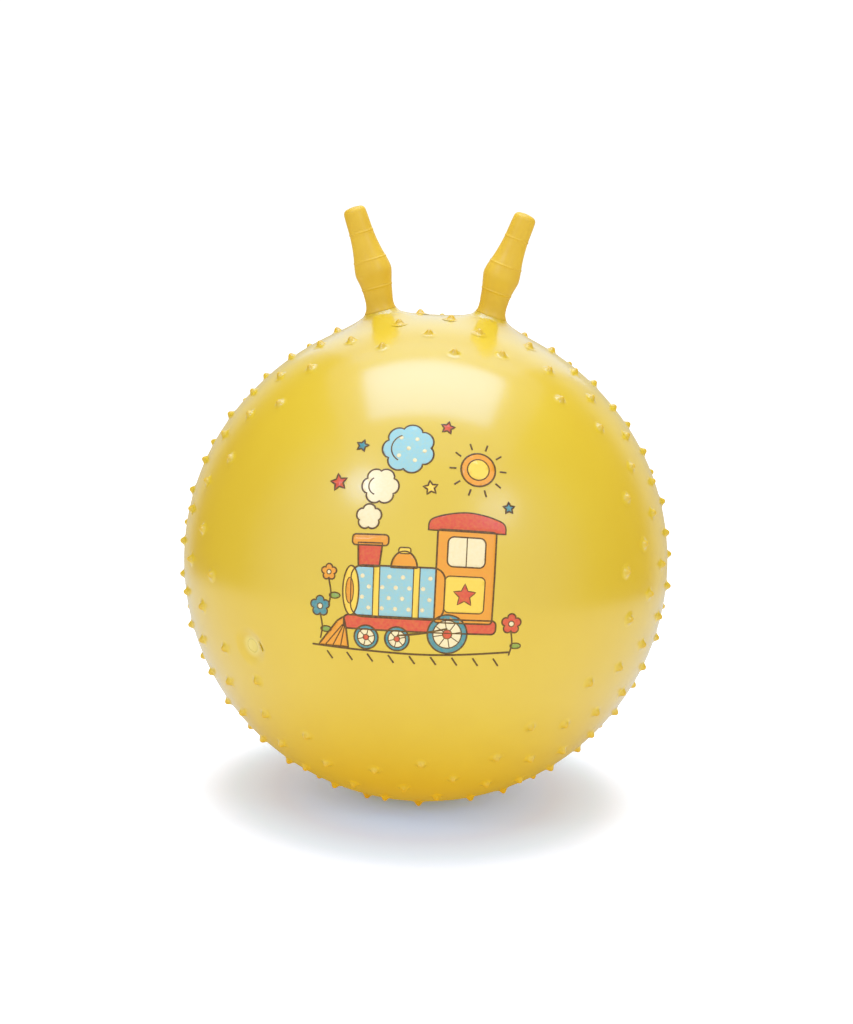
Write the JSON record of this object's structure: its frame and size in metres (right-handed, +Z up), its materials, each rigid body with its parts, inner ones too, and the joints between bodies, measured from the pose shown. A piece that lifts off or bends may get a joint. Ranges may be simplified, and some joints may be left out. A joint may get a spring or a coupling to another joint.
{
  "type": "hopper ball",
  "caption": "Inflated round ball to sit and bounce on, with two bulged horn grips, soft nubs, a smooth front and an air valve with a pull-out plug.",
  "frame": {"origin": "on the floor under the middle of the ball, at the middle of its flattened patch", "axes": "+Z up between the horns, -Y out of the smooth printed front, +X to the viewer's right"},
  "size_m": [0.4571, 0.4544, 0.5483],
  "materials": {
    "pearl_vinyl": "pearly gloss",
    "horn_vinyl": "semi-matte",
    "valve_rubber": "satin"
  },
  "bodies": {
    "ball": {"ball_skin": "pearl_vinyl", "left_horn": "horn_vinyl", "right_horn": "horn_vinyl", "valve_seat": "valve_rubber"},
    "plug": {"valve_plug": "valve_rubber"}
  },
  "joints": [
    {"name": "plug_pull", "type": "slide", "parent": "ball", "child": "plug", "axis": [-0.6366, -0.7323, -0.2419], "range_m": [0, 0.03]}
  ]
}
